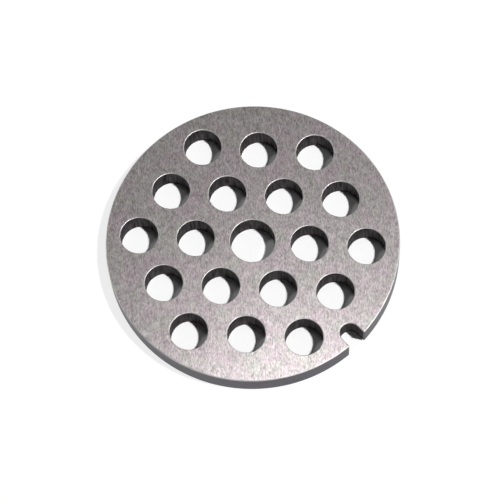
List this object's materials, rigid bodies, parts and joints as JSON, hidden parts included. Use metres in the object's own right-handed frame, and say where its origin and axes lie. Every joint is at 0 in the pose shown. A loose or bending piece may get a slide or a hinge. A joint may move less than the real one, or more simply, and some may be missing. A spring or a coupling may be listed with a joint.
{
  "type": "meat grinder plate",
  "caption": "Flat round steel cutting plate of a meat grinder: a triangular grid of straight cutting holes round a spindle bore, and a round-ended locating notch in the rim.",
  "frame": {"origin": "on the spindle bore's axis, in the back face, which is the underside at rest", "axes": "+Z along the spindle bore's axis, from the back face to the cutting face; +X out through the middle of the locating notch; +Y completes a right-handed frame"},
  "size_m": [0.0619, 0.062, 0.0055],
  "materials": {
    "ground_steel": "hardened tool steel, both faces surface ground with a fine straight grain, rim turned, holes drilled"
  },
  "bodies": {
    "root": {"plate": "ground_steel"}
  },
  "joints": []
}
